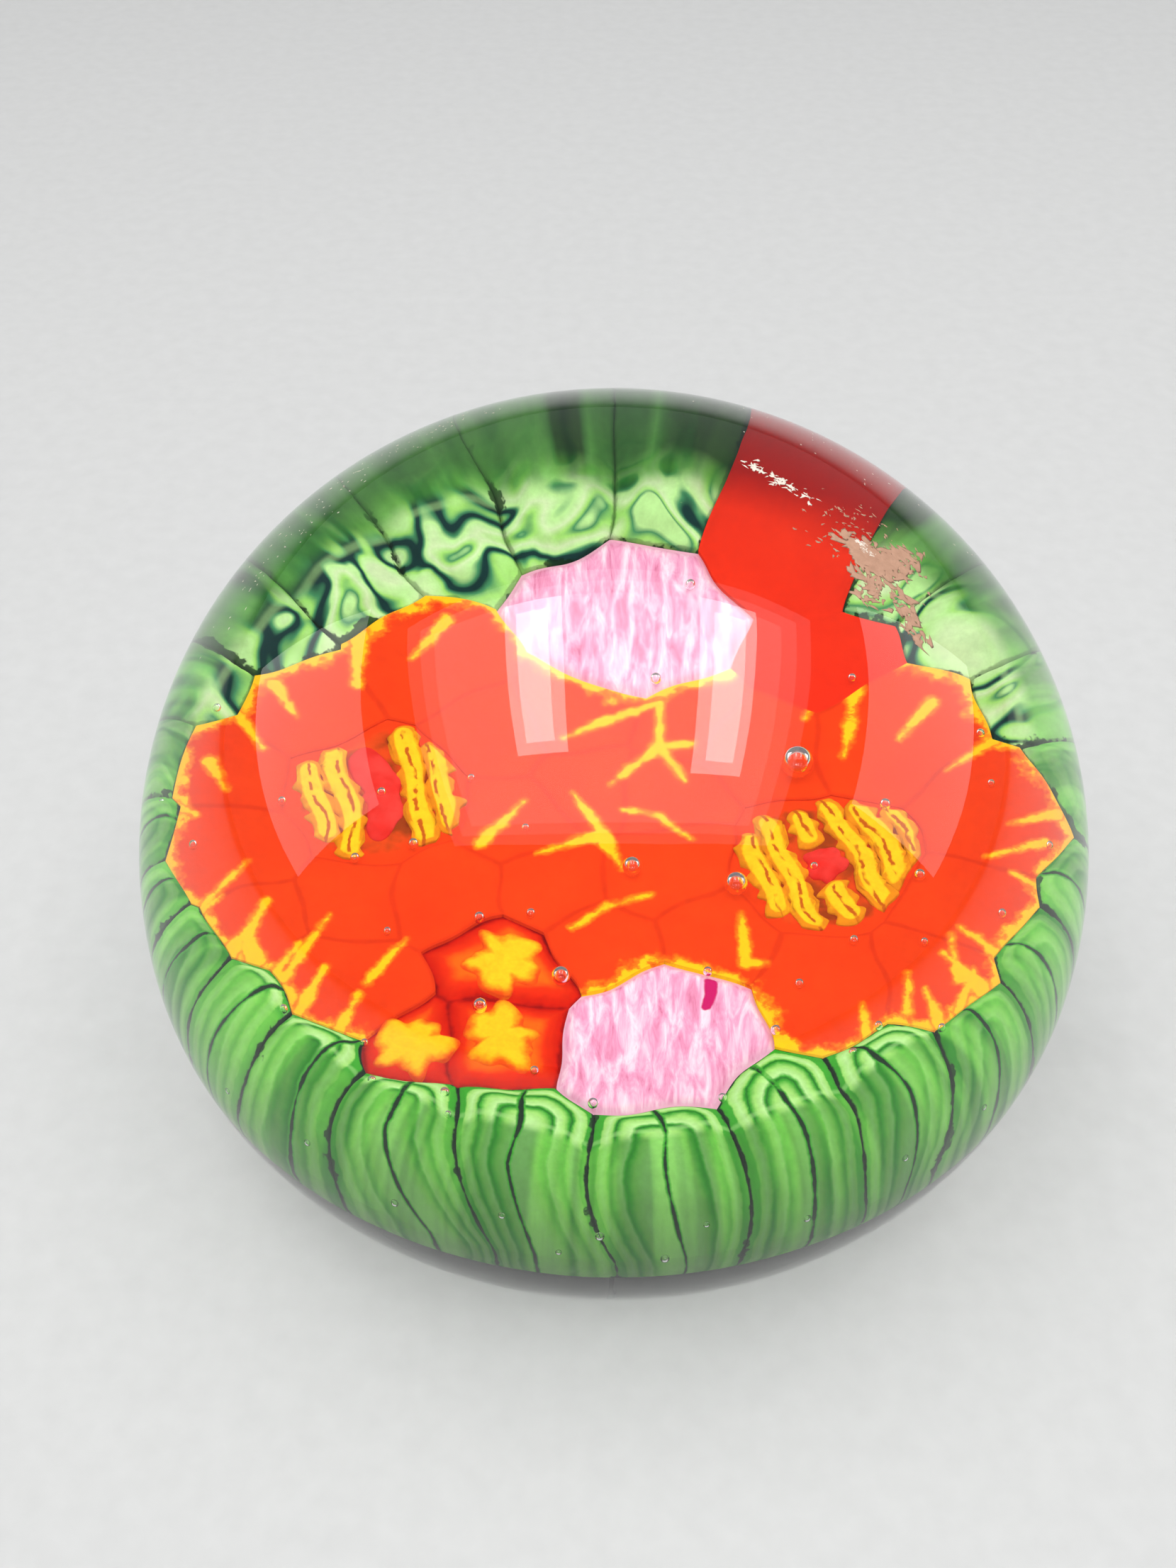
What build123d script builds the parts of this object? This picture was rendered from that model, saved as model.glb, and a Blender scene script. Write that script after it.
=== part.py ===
from build123d import *
import os
from math import asin, cos, degrees, hypot, radians, sin

os.makedirs("parts", exist_ok=True)

# A solid glass paperweight. A bundle of coloured glass canes stands on a clear base gather,
# and a clear crystal casing covers both. Millimetres, Z up. The origin is the middle of the
# flat foot, and +Y points to the back, where the plain red cane is.

# ---- The clear glass ----
casing_radius = 35.0        # greatest radius, at the equator
equator_height = 18.0       # height of the widest place above the foot
crown_height = 33.7         # from the equator to the top
keel_depth = 26.0           # half height of the lower ellipsoid, most of it ground away
base_gather_radius = 22.0   # clear pad under the canes

# ---- The bundle of canes, a bun standing on the pad ----
pad_height = 9.0            # top of the pad and bottom of the canes
belly_height = 12.0         # height of the bundle's widest place
belly_radius = 26.5
underside_radius = 22.5     # where the rounded lower edge begins
fold_radius = 21.5          # where the rounded shoulder begins
fold_height = 17.5
crown_rise = 0.8            # the canes' top face is slightly domed

# ---- Clearances ----
# The real glass is fused. The solids stay this far apart so that none overlaps another.
cane_gap = 0.04             # between flat sides of neighbouring canes
casing_gap = 0.15           # between the round skins of the bundle, the pad and the casing

# ---- The flower hearts and the small canes ----
finger_width = 1.0
finger_gap = 0.35           # brown glass left between two yellow fingers
pistil_width = 1.9
heart_wall = 0.45           # brown glass left outside the fingers
core_radius = 1.0           # yellow core of a small red cane
core_lobe_radius = 0.55
core_lobes = 5

# ---- Layout: one (x, y, radius) for each rod, as the rods were set before fusing ----
layout = {
    "left_flower_heart": [(-11.9, 3.2, 4.4)],
    "left_flower_petals": [
        (-9.4, 11.4, 3.3), (-14.6, 9.0, 3.0), (-19.0, 5.0, 2.6), (-20.0, -0.6, 3.0),
        (-18.2, -5.6, 2.6), (-14.4, -9.6, 3.4), (-13.2, -4.4, 2.6), (-8.6, -4.2, 2.9),
        (-5.4, 1.0, 2.6), (-6.0, 6.9, 2.8),
    ],
    "right_flower_heart": [(10.8, -1.7, 4.2)],
    "right_flower_petals": [
        (13.9, 6.6, 3.4), (19.2, 1.8, 3.3), (18.4, -4.4, 2.8), (16.6, -9.6, 3.0),
        (11.2, -10.2, 3.2), (5.4, -7.0, 2.4), (8.2, 6.0, 2.8),
    ],
    "middle_flower_petals": [
        (-1.6, 9.0, 2.8), (-1.2, 3.6, 2.2), (2.6, 2.6, 2.2), (4.2, 7.4, 2.0),
        (2.8, -2.6, 2.8), (-3.2, -3.2, 2.4), (-0.4, -7.2, 2.4),
    ],
    "pink_cane_front": [(2.4, -14.2, 4.9)],
    "pink_cane_back": [(1.0, 14.6, 5.0)],
    "red_cane_back": [(9.8, 11.8, 2.2), (8.6, 19.6, 4.0)],
    "small_cane_left": [(-10.6, -14.6, 2.2)],
    "small_cane_middle": [(-5.9, -8.9, 2.8)],
    "small_cane_right": [(-6.0, -14.2, 2.9)],
}
# The leaf canes, one after another round the rim, from the front left to the left side.
leaf_radius = 2.7
leaf_places = [
    (-16.5, -15.0), (-12.0, -19.2), (-5.4, -20.6), (2.4, -21.6), (9.4, -18.8), (15.4, -16.2),
    (20.4, -13.2), (23.8, -7.6), (26.0, -2.2), (24.6, 5.4), (21.6, 10.6), (18.0, 14.6),
    (14.2, 18.6), (2.8, 21.0), (-2.4, 21.2), (-7.6, 19.4), (-12.4, 17.2), (-17.2, 14.2),
    (-20.6, 11.0), (-23.4, 7.0), (-25.6, 2.0), (-25.8, -2.8), (-23.6, -7.4), (-20.4, -11.4),
]
for number, (x, y) in enumerate(leaf_places, start=1):
    layout[f"leaf_cane_{number:02d}"] = [(x, y, leaf_radius)]

# Each heart: the direction its fingers run in, how much longer than wide its pistil is, and
# for each finger its row beside the pistil (left is negative), its place along that
# direction, and its length. A tip is a finger in line with the pistil, with its length.
hearts = {
    "left_flower": {
        "direction": 90.0,
        "pistil_stretch": 4.1,
        "fingers": [(-2, -0.4, 5.0), (-1, -0.4, 7.2), (1, 0.0, 7.8), (2, -0.2, 5.8)],
        "tips": [],
    },
    "right_flower": {
        "direction": 118.0,
        "pistil_stretch": 0.3,
        "fingers": [(-2, 0.4, 5.6), (-1, 0.2, 7.8), (1, -0.2, 8.4), (2, -0.5, 7.4), (3, -0.6, 4.6)],
        "tips": [(1, 2.2), (-1, 2.8)],
    },
}

bundle_height = fold_height + crown_rise - pad_height
cell_reach = 2 * belly_radius   # cells are cut from a square of this half width


def keep_near_side(corners, across_x, across_y, limit):
    """Cut a polygon with a line and keep the side where the distance across is below limit."""
    kept = []
    for start, end in zip(corners, corners[1:] + corners[:1]):
        before = across_x * start[0] + across_y * start[1] - limit
        after = across_x * end[0] + across_y * end[1] - limit
        if before <= 0:
            kept.append(start)
        if (before < 0) != (after < 0) and before != after:
            share = before / (before - after)
            kept.append((start[0] + share * (end[0] - start[0]),
                         start[1] + share * (end[1] - start[1])))
    return kept


def cell_corners(rod, margin):
    """The cell that a rod fills when it is squeezed against its neighbours: a power diagram,
    where two rods meet on a straight line and the thicker rod takes more room."""
    x, y, radius = rod
    corners = [(-cell_reach, -cell_reach), (cell_reach, -cell_reach),
               (cell_reach, cell_reach), (-cell_reach, cell_reach)]
    for other_x, other_y, other_radius in rods:
        apart = hypot(other_x - x, other_y - y)
        if apart == 0:
            continue
        line = (apart**2 + radius**2 - other_radius**2) / (2 * apart) - margin
        across_x = (other_x - x) / apart
        across_y = (other_y - y) / apart
        corners = keep_near_side(corners, across_x, across_y, across_x * x + across_y * y + line)
    return corners


def bundle_section(skin):
    """Half section of the bundle, grown by skin: a flat bottom, a rounded lower edge, a
    rounded shoulder and a slightly domed top. Drawn flat, with the axis along Y."""
    bottom = pad_height - skin
    belly = belly_radius + skin
    fold = fold_height + skin
    top = fold + crown_rise
    # the dome is a large circle through the fold and the top, with its centre on the axis
    dome_radius = (fold_radius**2 + crown_rise**2) / (2 * crown_rise)
    dome_angle = degrees(asin(fold_radius / dome_radius))
    with BuildSketch() as section:
        with BuildLine():
            Polyline((0, top), (0, bottom), (underside_radius, bottom))
            EllipticalCenterArc((underside_radius, belly_height), belly - underside_radius,
                                belly_height - bottom, start_angle=-90, arc_size=90)
            EllipticalCenterArc((fold_radius, belly_height), belly - fold_radius,
                                fold - belly_height, start_angle=0, arc_size=90)
            CenterArc((0, top - dome_radius), dome_radius,
                      start_angle=90 - dome_angle, arc_size=dome_angle)
        make_face()
    return section.sketch


def add_pistil(centre, heart, grow):
    """Outline of the pistil, grown by grow on every side."""
    with Locations(centre):
        SlotOverall(pistil_width + heart["pistil_stretch"] + 2 * grow, pistil_width + 2 * grow,
                    rotation=heart["direction"])


def add_fingers(centre, heart, grow):
    """Outlines of the fingers beside and beyond the pistil, grown by grow on every side."""
    angle = radians(heart["direction"])
    pitch = finger_width + finger_gap
    first_row = pistil_width / 2 + finger_gap + finger_width / 2
    places = []
    for row, along, length in heart["fingers"]:
        across = (first_row + (abs(row) - 1) * pitch) * (1 if row > 0 else -1)
        places.append((across, along, length))
    half_pistil = (pistil_width + heart["pistil_stretch"]) / 2
    for side, length in heart["tips"]:
        places.append((0, side * (half_pistil + finger_gap + length / 2), length))
    for across, along, length in places:
        x = centre[0] + across * sin(angle) + along * cos(angle)
        y = centre[1] - across * cos(angle) + along * sin(angle)
        with Locations((x, y)):
            SlotOverall(length + 2 * grow, finger_width + 2 * grow, rotation=heart["direction"])


def add_core(centre, grow, mode=Mode.ADD):
    """Outline of a small cane's lobed core, grown by grow on every side."""
    with Locations(centre):
        Circle(core_radius + grow, mode=mode)
        with PolarLocations(core_radius, core_lobes, start_angle=90):
            Circle(core_lobe_radius + grow, mode=mode)


def finish(piece, name):
    """Name a finished piece and write its file."""
    piece.part.label = name
    export_step(piece.part, f"parts/{name}.step")


rods = [rod for group in layout.values() for rod in group]
bottom_plane = Plane.XY.offset(pad_height)

# ---- The bundle's outer shape, which trims every cane ----
with BuildPart() as bundle:
    with BuildSketch(Plane.XZ):
        add(bundle_section(0))
    revolve(axis=Axis.Z)

# ---- Crystal casing: a globe with a flat foot, hollow for the bundle and open for the pad ----
foot_angle = degrees(asin(equator_height / keel_depth))
crown_steps = [radians(angle) for angle in range(0, 91, 10)]
crown_points = [(casing_radius * cos(angle), equator_height + crown_height * sin(angle))
                for angle in crown_steps]
with BuildPart() as crystal_casing:
    with BuildSketch(Plane.XZ):
        with BuildLine():
            keel = EllipticalCenterArc((0, equator_height), casing_radius, keel_depth,
                                       start_angle=-foot_angle, arc_size=foot_angle)
            # upright at the equator and level at the top
            crown = Spline(crown_points, tangents=[(0, 1), (-1, 0)])
            Polyline(crown @ 1, (0, 0), keel @ 0)
        make_face()
        add(bundle_section(casing_gap), mode=Mode.SUBTRACT)
        Rectangle(base_gather_radius + casing_gap, pad_height,
                  align=(Align.MIN, Align.MIN), mode=Mode.SUBTRACT)
    revolve(axis=Axis.Z)
finish(crystal_casing, "crystal_casing")

# ---- Base gather: the clear pad that the canes stand on, flush with the foot ----
with BuildPart() as base_gather:
    with BuildSketch(Plane.XY):
        Circle(base_gather_radius)
    extrude(amount=pad_height)
finish(base_gather, "base_gather")

# ---- Plain canes: petals, leaves, and the pink and red canes ----
for name, group in layout.items():
    if "heart" in name or "small" in name:
        continue
    with BuildPart() as cane:
        for rod in group:
            with BuildSketch(bottom_plane):
                Polygon(*cell_corners(rod, cane_gap / 2), align=None)
            extrude(amount=bundle_height)
        add(bundle.part, mode=Mode.INTERSECT)
    finish(cane, name)

# ---- Flower hearts: yellow stamen fingers and a pistil in a brown bed ----
for flower, heart in hearts.items():
    rod = layout[f"{flower}_heart"][0]
    cell = cell_corners(rod, cane_gap / 2)

    with BuildPart() as stamens:
        with BuildSketch(bottom_plane):
            add_fingers(rod[:2], heart, 0)
            Polygon(*cell_corners(rod, heart_wall), align=None, mode=Mode.INTERSECT)
        extrude(amount=bundle_height)
        add(bundle.part, mode=Mode.INTERSECT)
    finish(stamens, f"{flower}_stamens")

    with BuildPart() as pistil:
        with BuildSketch(bottom_plane):
            add_pistil(rod[:2], heart, 0)
        extrude(amount=bundle_height)
        add(bundle.part, mode=Mode.INTERSECT)
    finish(pistil, f"{flower}_pistil")

    with BuildPart() as finger_holes:
        with BuildSketch(bottom_plane):
            add_fingers(rod[:2], heart, cane_gap)
            Polygon(*cell_corners(rod, heart_wall - cane_gap), align=None, mode=Mode.INTERSECT)
            add_pistil(rod[:2], heart, cane_gap)
        extrude(amount=bundle_height)

    with BuildPart() as bed:
        with BuildSketch(bottom_plane):
            Polygon(*cell, align=None)
        extrude(amount=bundle_height)
        add(finger_holes.part, mode=Mode.SUBTRACT)
        add(bundle.part, mode=Mode.INTERSECT)
    finish(bed, f"{flower}_heart")

# ---- Small red canes: a red coat round a lobed yellow core ----
for name, group in layout.items():
    if "small" not in name:
        continue
    rod = group[0]

    with BuildPart() as core:
        with BuildSketch(bottom_plane):
            add_core(rod[:2], 0)
        extrude(amount=bundle_height)
        add(bundle.part, mode=Mode.INTERSECT)
    finish(core, f"{name}_core")

    with BuildPart() as coat:
        with BuildSketch(bottom_plane):
            Polygon(*cell_corners(rod, cane_gap / 2), align=None)
            add_core(rod[:2], cane_gap, mode=Mode.SUBTRACT)
        extrude(amount=bundle_height)
        add(bundle.part, mode=Mode.INTERSECT)
    finish(coat, f"{name}_coat")
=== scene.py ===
# %% [markdown]
# # A flower paperweight
# The real object is one lump of glass. A glassmaker stands coloured rods, called canes,
# side by side, fuses them into a bundle, and covers the bundle with clear crystal.
# The crystal dome works as a lens: it enlarges the canes until they seem to fill the globe.
# So the canes are modelled at their true, smaller size, and the render bends the light.

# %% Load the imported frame
import math
import bpy
import numpy as np
from mathutils.geometry import convex_hull_2d
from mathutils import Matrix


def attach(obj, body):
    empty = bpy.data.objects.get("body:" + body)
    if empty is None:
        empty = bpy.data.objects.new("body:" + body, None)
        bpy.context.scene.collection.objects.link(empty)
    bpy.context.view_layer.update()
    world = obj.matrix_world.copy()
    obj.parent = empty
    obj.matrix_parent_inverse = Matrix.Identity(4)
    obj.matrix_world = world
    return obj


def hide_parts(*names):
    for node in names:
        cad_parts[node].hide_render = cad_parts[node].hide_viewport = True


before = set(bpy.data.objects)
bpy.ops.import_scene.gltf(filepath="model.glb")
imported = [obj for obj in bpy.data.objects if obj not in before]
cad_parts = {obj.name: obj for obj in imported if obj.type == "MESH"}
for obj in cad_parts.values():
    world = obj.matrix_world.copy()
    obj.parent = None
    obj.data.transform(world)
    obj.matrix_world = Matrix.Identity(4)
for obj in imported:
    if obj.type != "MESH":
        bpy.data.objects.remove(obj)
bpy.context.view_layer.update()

MM = 0.001  # one millimetre in Blender's metres

# %% [markdown]
# ## Measures read from the frame
# The CAD nodes say where the glass and the canes are. The casing gives the globe, and all
# the canes together give the bundle, so nothing has to be fitted by eye.

# %% Read the globe and the bundle
fold_radius = 21.5  # where the bundle's flat top folds over into its rounded shoulder
crown_rise = 0.8  # how much the top face is domed


def node_points(name):
    """Corner points of a CAD node, in millimetres, one row a point."""
    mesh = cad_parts[name].data
    flat = np.empty(len(mesh.vertices) * 3)
    mesh.vertices.foreach_get("co", flat)
    return flat.reshape(-1, 3) / MM


def reach(points):
    """Distance of each point from the upright middle axis."""
    return np.hypot(points[..., 0], points[..., 1])


casing = node_points("crystal_casing")
globe_radius = float(reach(casing).max())
globe_top = float(casing[:, 2].max())
equator = float(casing[reach(casing).argmax(), 2])
foot_radius = float(reach(casing)[casing[:, 2] < 0.01].max())

cane_names = [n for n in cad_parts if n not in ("crystal_casing", "base_gather")]
bundle = np.vstack([node_points(n) for n in cane_names])
belly_radius = float(reach(bundle).max())
belly_height = float(bundle[reach(bundle) > belly_radius - 0.001, 2].mean())
pad_height = float(bundle[:, 2].min())
pad_reach = float(reach(bundle)[bundle[:, 2] < pad_height + 0.001].max())
fold_height = float(bundle[:, 2].max()) - crown_rise
print(f"globe {2 * globe_radius:.1f} x {globe_top:.1f} mm, foot {2 * foot_radius:.1f} mm")
print(f"bundle {2 * belly_radius:.1f} mm wide, from {pad_height:.1f} to {fold_height:.1f} mm")

# %% [markdown]
# ## The skin of the bundle
# The fused bundle is shaped like a bun. Seen from above, its top is a height that depends
# only on how far a point is from the middle: a slight dome, then a quarter of an ellipse
# down the shoulder. The underside curls in the same way. Two short formulas hold it all.


# %% Heights of the bundle's skin
def skin_top(away):
    """Height of the upper skin: a shallow dome inside the fold, an elliptic arc outside."""
    dome = fold_height + crown_rise * (1 - np.clip(away / fold_radius, 0, 1) ** 2)
    share = np.clip((away - fold_radius) / (belly_radius - fold_radius), 0, 1)
    shoulder = belly_height + (fold_height - belly_height) * np.sqrt(1 - share**2)
    return np.where(away < fold_radius, dome, shoulder)


def skin_low(away):
    """Height of the lower skin: flat on the pad, then an elliptic arc up to the belly."""
    share = np.clip((away - pad_reach) / (belly_radius - pad_reach), 0, 1)
    return belly_height - (belly_height - pad_height) * np.sqrt(1 - share**2)


# %% [markdown]
# ## The cells
# Each cane's CAD solid is an upright prism. Seen from above it is a convex polygon, the
# cell that the rod filled when it was squeezed against its neighbours. One node can hold
# several such solids, so they are told apart first: triangles that share a corner belong
# together, and each corner takes the lowest label it touches until nothing changes.


# %% Read the outline of every cane
def solids_of(name):
    """The separate solids of a node, each an array of its points."""
    points = node_points(name)
    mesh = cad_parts[name].data
    corners = np.empty(len(mesh.loops), int)
    mesh.loops.foreach_get("vertex_index", corners)
    _, same = np.unique(points.round(3), axis=0, return_inverse=True)
    triangles = same.ravel()[corners].reshape(-1, 3)
    label = np.arange(same.max() + 1)
    while True:
        lower = label.copy()
        np.minimum.at(lower, triangles.ravel(), label[triangles].min(axis=1).repeat(3))
        if (lower == label).all():
            break
        label = lower
    owner = label[same.ravel()]
    return [points[owner == one] for one in np.unique(owner)]


def outlines(name):
    """The convex outline of each solid of a node, seen from above, anticlockwise."""
    found = []
    for points in solids_of(name):
        flat = np.unique(points[:, :2].round(3), axis=0)
        found.append(flat[convex_hull_2d(flat.tolist())])
    return found


def sides_of(outline):
    """Each side's outward direction, its distance from the middle axis, and whether it is
    a seam with a neighbour rather than a piece of the bundle's round skin."""
    after = np.roll(outline, -1, axis=0)
    along = after - outline
    length = np.hypot(along[:, 0], along[:, 1])
    keep = length > 0.002
    along, start, end = along[keep], outline[keep], after[keep]
    outward = np.stack([along[:, 1], -along[:, 0]], axis=1) / length[keep, None]
    offset = (outward * start).sum(axis=1)
    seam = (reach(start) < belly_radius - 0.02) | (reach(end) < belly_radius - 0.02)
    return outward, offset, seam


def depth_inside(points, outward, offset):
    """How far each point is inside the nearest of the given sides."""
    return (offset - points[..., :2] @ outward.T).min(axis=-1)


def round_depth(points, outward, offset, soft):
    """Like depth_inside, but its contours are rounded where two sides meet. Adding up
    exponentials of the distances blends them over a width called soft."""
    apart = offset - points[..., :2] @ outward.T
    nearest = apart.min(axis=-1)
    extra = np.exp((nearest[..., None] - apart) / soft).sum(axis=-1)
    return nearest - soft * np.log(extra)


cells = {name: outlines(name) for name in cane_names}
print("canes:", len(cells), "nodes,", sum(len(c) for c in cells.values()), "rods")

# %% [markdown]
# ## From arrays to a mesh
# Every solid below is a closed surface of two parameters: rings from one pole to the
# other, and steps around each ring. The first and last ring shrink to one point each, so
# the poles are closed by fans of triangles and everything between them is four-sided.


# %% Build a piece from rings of points
def ring_faces(rings, around, first):
    """Corner numbers of the faces of one closed surface, for points numbered from first:
    a pole, the rings between, and the other pole. Returns the triangles and the quads."""
    step = np.arange(around)
    after = (step + 1) % around
    last = first + 1 + (rings - 2) * around
    start_fan = np.stack([np.full(around, first), first + 1 + step, first + 1 + after], 1)
    edge = last - around
    end_fan = np.stack([np.full(around, last), edge + after, edge + step], 1)
    low = first + 1 + np.arange(rings - 3)[:, None] * around
    quads = np.stack([low + step, low + around + step, low + around + after, low + after], -1)
    return np.vstack([start_fan, end_fan]), quads.reshape(-1, 4)


def join_sheets(sheets):
    """Puts several closed surfaces in one set of arrays: points, triangles, quads, values."""
    points, triangles, quads, values, first = [], [], [], {}, 0
    for sheet in sheets:
        rings, around = sheet["points"].shape[:2]
        fans, squares = ring_faces(rings, around, first)
        triangles.append(fans)
        quads.append(squares)
        picked = slice(around - 1, rings * around - around + 1)
        points.append(sheet["points"].reshape(-1, 3)[picked])
        for key, value in sheet.items():
            if key != "points":
                full = np.broadcast_to(value, (rings, around)).reshape(-1)[picked]
                values.setdefault(key, []).append(full)
        first += (rings - 2) * around + 2
    joined = {key: np.concatenate(parts) for key, parts in values.items()}
    return np.vstack(points), np.vstack(triangles), np.vstack(quads), joined


def make_piece(name, sheets, material, nodes=()):
    """Writes closed surfaces into one smooth mesh object that rides on the frame."""
    points, triangles, quads, values = join_sheets(sheets)
    mesh = bpy.data.meshes.new(name)
    mesh.vertices.add(len(points))
    mesh.vertices.foreach_set("co", (points * MM).ravel())
    corners = np.concatenate([triangles.ravel(), quads.ravel()])
    mesh.loops.add(len(corners))
    mesh.loops.foreach_set("vertex_index", corners)
    starts = np.concatenate([
        np.arange(len(triangles)) * 3,
        len(triangles) * 3 + np.arange(len(quads)) * 4,
    ])
    mesh.polygons.add(len(starts))
    mesh.polygons.foreach_set("loop_start", starts)
    for key, value in values.items():
        mesh.attributes.new(key, "FLOAT", "POINT").data.foreach_set("value", value)
    mesh.update(calc_edges=True)
    mesh.shade_smooth()
    mesh.materials.append(material)
    piece = bpy.data.objects.new(name, mesh)
    bpy.context.scene.collection.objects.link(piece)
    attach(piece, "root")
    if nodes:
        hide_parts(*nodes)
    print(f"{name}: {len(triangles) + 2 * len(quads)} triangles")
    return piece


# %% [markdown]
# ## Small helpers for finishes
# A material is a tree of nodes. These helpers add one node at a time and link what is
# handed to them, so that each finish below reads as a short recipe.


# %% Node helpers
def put(tree, kind, *inputs, **settings):
    """Adds a node. Each input is a number, a colour or another node's output, in order;
    None leaves that input as it is. Returns the node."""
    node = tree.nodes.new(kind)
    for key, value in settings.items():
        setattr(node, key, value)
    for socket, value in zip(node.inputs, inputs):
        if isinstance(value, bpy.types.NodeSocket):
            tree.links.new(value, socket)
        elif value is not None:
            socket.default_value = value
    return node


def maths(tree, operation, *inputs):
    """The result of one piece of arithmetic."""
    return put(tree, "ShaderNodeMath", *inputs, operation=operation).outputs[0]


def blend(tree, share, first, second):
    """A colour between two others."""
    node = put(tree, "ShaderNodeMix", data_type="RGBA")
    for socket, value in ((node.inputs[0], share), (node.inputs[6], first), (node.inputs[7], second)):
        if isinstance(value, bpy.types.NodeSocket):
            tree.links.new(value, socket)
        else:
            socket.default_value = value
    return node.outputs[2]


def between(tree, value, low, high):
    """0 below low, 1 above high and a smooth rise between them."""
    node = put(tree, "ShaderNodeMapRange", value, low, high, 0.0, 1.0,
               interpolation_type="SMOOTHSTEP")
    return node.outputs[0]


def ramp(tree, value, stops):
    """A colour read off a scale. stops are (place, colour) pairs."""
    node = put(tree, "ShaderNodeValToRGB", value)
    scale = node.color_ramp.elements
    scale[0].position, scale[0].color = stops[0]
    scale[1].position, scale[1].color = stops[-1]
    for place, colour in stops[1:-1]:
        scale.new(place).color = colour
    return node.outputs[0]


def read(tree, name):
    """A value stored on the mesh's points."""
    return put(tree, "ShaderNodeAttribute", attribute_name=name).outputs["Fac"]


def place(tree, stretch=(1, 1, 1), turn=0.0):
    """Object coordinates in millimetres, stretched and turned about Z."""
    where = put(tree, "ShaderNodeTexCoord").outputs["Object"]
    mapping = put(tree, "ShaderNodeMapping", where)
    mapping.inputs["Scale"].default_value = [s / MM for s in stretch]
    mapping.inputs["Rotation"].default_value = (0, 0, math.radians(turn))
    return mapping.outputs[0]


def rim_place(tree):
    """Millimetres along the bundle's rim: each point's direction from the middle axis, set
    on a circle. Noise read there makes stripes that run outwards and down the wall."""
    parts = put(tree, "ShaderNodeSeparateXYZ", place(tree))
    flat = put(tree, "ShaderNodeCombineXYZ", parts.outputs["X"], parts.outputs["Y"])
    way = put(tree, "ShaderNodeVectorMath", flat.outputs[0], operation="NORMALIZE")
    rim = put(tree, "ShaderNodeVectorMath", way.outputs[0], operation="SCALE")
    rim.inputs["Scale"].default_value = belly_radius
    return rim.outputs[0]


def grain(tree, where, size, detail=2.0, roughness=0.5, distortion=0.0):
    """Cloudy noise from 0 to 1, with lumps about size millimetres wide."""
    node = put(tree, "ShaderNodeTexNoise")
    tree.links.new(where, node.inputs["Vector"])
    for key, value in (("Scale", 1 / size), ("Detail", detail), ("Roughness", roughness),
                       ("Distortion", distortion)):
        node.inputs[key].default_value = value
    return node.outputs["Fac"]


def new_material(name, **values):
    """A material with a Principled shader whose sockets are set to the given values."""
    material = bpy.data.materials.new(name)
    material.use_nodes = True
    shader = material.node_tree.nodes["Principled BSDF"]
    for key, value in values.items():
        shader.inputs[key.replace("_", " ")].default_value = value
    return material, material.node_tree, shader


# %% [markdown]
# ## Glass that is drawn and fused
# Three effects come back in most of the canes. Hot glass is pulled into long rods, which
# leaves fine streaks along them, where two colours fuse the border wanders a little, and
# the fused ends stay slightly lumpy. Each effect is a node group, built once and used with
# other values in every finish.


# %% Shared effects
def new_group(name, inputs, outputs):
    """An empty shader node group with named number inputs and outputs."""
    group = bpy.data.node_groups.new(name, "ShaderNodeTree")
    for key, kind in inputs:
        group.interface.new_socket(key, in_out="INPUT", socket_type=kind)
    for key, kind in outputs:
        group.interface.new_socket(key, in_out="OUTPUT", socket_type=kind)
    entry = group.nodes.new("NodeGroupInput")
    leave = group.nodes.new("NodeGroupOutput")
    return group, entry.outputs, leave.inputs


wander, given, result = new_group(
    "Wandering border",
    [("Distance", "NodeSocketFloat"), ("Amount", "NodeSocketFloat"), ("Where", "NodeSocketVector")],
    [("Distance", "NodeSocketFloat")],
)
coarse = maths(wander, "SUBTRACT", grain(wander, given["Where"], 1.6, 1.0), 0.5)
fine = maths(wander, "SUBTRACT", grain(wander, given["Where"], 0.45, 3.0, 0.6), 0.5)
both = maths(wander, "ADD", coarse, maths(wander, "MULTIPLY", fine, 0.7))
moved = maths(wander, "MULTIPLY", both, given["Amount"])
wander.links.new(maths(wander, "ADD", given["Distance"], moved), result["Distance"])

streaks, given, result = new_group(
    "Drawn streaks",
    [("Colour", "NodeSocketColor"), ("Strength", "NodeSocketFloat"), ("Where", "NodeSocketVector")],
    [("Colour", "NodeSocketColor")],
)
thread = maths(streaks, "SUBTRACT", grain(streaks, given["Where"], 0.5, 3.0, 0.7), 0.5)
lift = maths(streaks, "MULTIPLY_ADD", thread, given["Strength"], 1.0)
tinted = put(streaks, "ShaderNodeVectorMath", given["Colour"], operation="SCALE")
streaks.links.new(lift, tinted.inputs["Scale"])
streaks.links.new(tinted.outputs["Vector"], result["Colour"])


uneven, given, result = new_group(
    "Uneven glass",
    [("Height", "NodeSocketFloat"), ("Where", "NodeSocketVector")],
    [("Roughness", "NodeSocketFloat"), ("Normal", "NodeSocketVector")],
)
lumps = grain(uneven, given["Where"], 0.9, 4.0, 0.55)
bump = put(uneven, "ShaderNodeBump")
uneven.links.new(lumps, bump.inputs["Height"])
uneven.links.new(maths(uneven, "MULTIPLY", given["Height"], MM), bump.inputs["Distance"])
uneven.links.new(bump.outputs[0], result["Normal"])
uneven.links.new(maths(uneven, "MULTIPLY_ADD", lumps, 0.3, 0.2), result["Roughness"])


def coloured(tree, shader, colour, height=0.04):
    """Gives a shader its colour and the slight lumpiness of fused glass."""
    node = put(tree, "ShaderNodeGroup", node_tree=uneven)
    node.inputs["Height"].default_value = height
    tree.links.new(place(tree), node.inputs["Where"])
    tree.links.new(colour, shader.inputs["Base Color"])
    tree.links.new(node.outputs["Roughness"], shader.inputs["Roughness"])
    tree.links.new(node.outputs["Normal"], shader.inputs["Normal"])


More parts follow.
